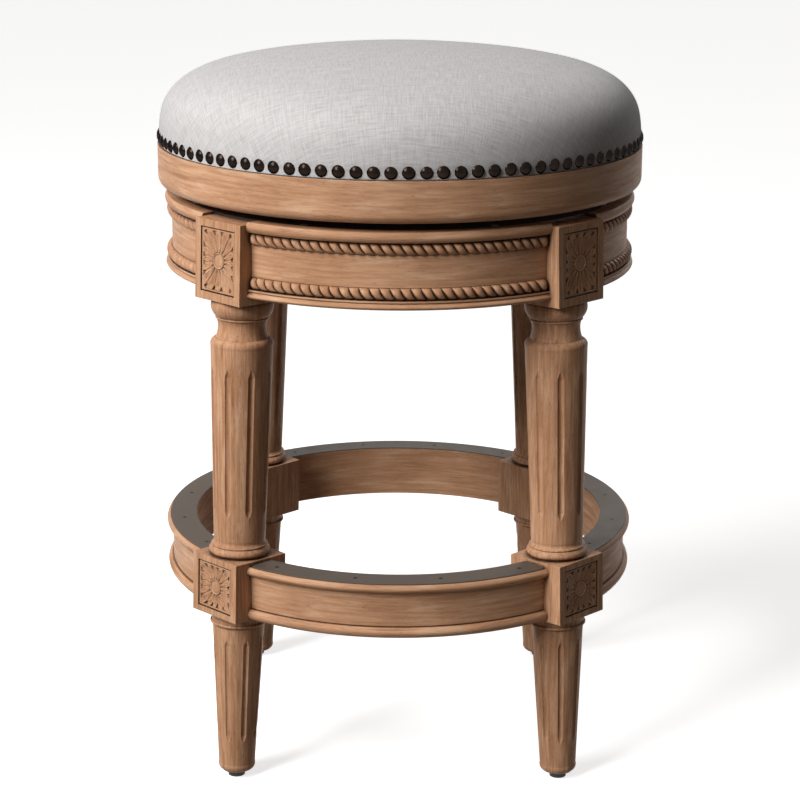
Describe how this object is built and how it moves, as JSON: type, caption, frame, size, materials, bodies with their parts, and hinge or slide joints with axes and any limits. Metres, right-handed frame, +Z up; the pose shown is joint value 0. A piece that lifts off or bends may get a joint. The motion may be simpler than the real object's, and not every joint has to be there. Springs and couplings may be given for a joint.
{
  "type": "swivel stool",
  "caption": "Round backless swivel stool with an upholstered nailed seat, rope-moulded apron, turned fluted legs and a ring footrest with metal treads.",
  "frame": {"origin": "on the floor, below the middle of the seat", "axes": "+Z up through the swivel, -Y towards the front, +X to the right seen from the front"},
  "size_m": [0.4714, 0.4712, 0.6853],
  "materials": {
    "stained_wood": "satin, brown stain with a dark glaze in the recesses",
    "carved_wood": "satin, rubbed back on the high places",
    "plain_wood": "unfinished",
    "tread_metal": "satin dark bronze",
    "dark_bronze": "antique dark bronze",
    "zinc_steel": "zinc plated",
    "black_nylon": "matt",
    "foam": "open-cell foam",
    "linen": "plain woven linen look"
  },
  "bodies": {
    "base": {"leg_front_left": "stained_wood", "leg_front_right": "stained_wood", "leg_back_right": "stained_wood", "leg_back_left": "stained_wood", "apron_rail_front": "stained_wood", "apron_rail_right": "stained_wood", "apron_rail_back": "stained_wood", "apron_rail_left": "stained_wood", "rope_moulding_front": "carved_wood", "rope_moulding_right": "carved_wood", "rope_moulding_back": "carved_wood", "rope_moulding_left": "carved_wood", "foot_rail_front": "stained_wood", "foot_rail_right": "stained_wood", "foot_rail_back": "stained_wood", "foot_rail_left": "stained_wood", "foot_plate_front": "tread_metal", "foot_plate_right": "tread_metal", "foot_plate_back": "tread_metal", "foot_plate_left": "tread_metal", "foot_plate_screws": "dark_bronze", "apron_rosettes": "carved_wood", "foot_rosettes": "carved_wood", "apron_dowels": "plain_wood", "foot_rail_dowels": "plain_wood", "base_panel": "plain_wood", "base_panel_screws": "zinc_steel", "swivel_lower_plate": "zinc_steel", "lower_plate_screws": "zinc_steel", "swivel_hub": "zinc_steel", "glides": "black_nylon", "glide_nails": "zinc_steel"},
    "ball_cage": {"ball_cage": "zinc_steel", "swivel_balls": "zinc_steel"},
    "seat": {"swivel_upper_plate": "zinc_steel", "upper_plate_screws": "zinc_steel", "seat_frame": "stained_wood", "seat_board": "plain_wood", "seat_board_screws": "zinc_steel", "seat_foam": "foam", "seat_cover": "linen", "nail_heads": "dark_bronze"}
  },
  "joints": [
    {"name": "seat_swivel", "type": "hinge", "parent": "base", "child": "seat", "pos_m": [0, 0, 0.5593], "axis": [0, 0, 1], "continuous": true},
    {"name": "ball_cage_spin", "type": "hinge", "parent": "base", "child": "ball_cage", "pos_m": [0, 0, 0.5593], "axis": [0, 0, 1], "continuous": true}
  ],
  "couplings": [
    {"joint": "ball_cage_spin", "follows": "seat_swivel", "ratio": 0.5}
  ]
}
